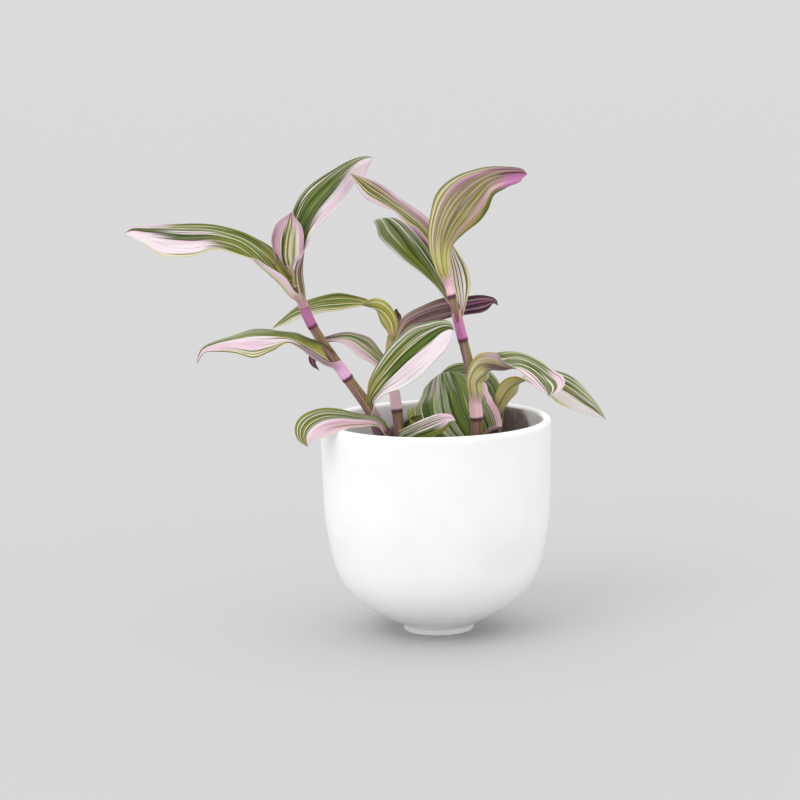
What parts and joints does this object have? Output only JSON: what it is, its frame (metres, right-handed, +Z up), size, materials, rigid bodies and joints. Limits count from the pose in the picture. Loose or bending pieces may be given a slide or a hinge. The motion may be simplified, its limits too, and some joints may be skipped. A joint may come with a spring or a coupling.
{
  "type": "potted tradescantia",
  "caption": "Pink-variegated tradescantia with sheathed leaves on jointed stems, growing in a plain round white glazed pot.",
  "frame": {"origin": "middle of the flat underside of the pot's foot, on the surface the pot stands on", "axes": "+Z up along the pot's axis; the plant's tallest leaves lie in the X-Z plane, with -Y the side seen in the picture"},
  "size_m": [0.1853, 0.0943, 0.1869],
  "materials": {
    "glaze": "white glazed ceramic, glossy",
    "soil": "dark crumbly potting soil",
    "stem": "juicy tan and mauve stem with dark purple node rings",
    "leaf": "satin leaf striped in green, cream and pink, purple beneath"
  },
  "bodies": {
    "root": {"pot": "glaze", "soil": "soil", "stem_a": "stem", "stem_b": "stem", "stem_c": "stem", "stem_d": "stem", "leaf_a1": "leaf", "leaf_a2": "leaf", "leaf_a3": "leaf", "leaf_a4": "leaf", "leaf_a5": "leaf", "leaf_a6": "leaf", "leaf_b1": "leaf", "leaf_b2": "leaf", "leaf_b3": "leaf", "leaf_b4": "leaf", "leaf_b5": "leaf", "leaf_b6": "leaf", "leaf_c1": "leaf", "leaf_c2": "leaf", "leaf_c3": "leaf", "leaf_c4": "leaf", "leaf_c5": "leaf", "leaf_c6": "leaf", "leaf_d1": "leaf", "leaf_d2": "leaf"}
  },
  "joints": []
}
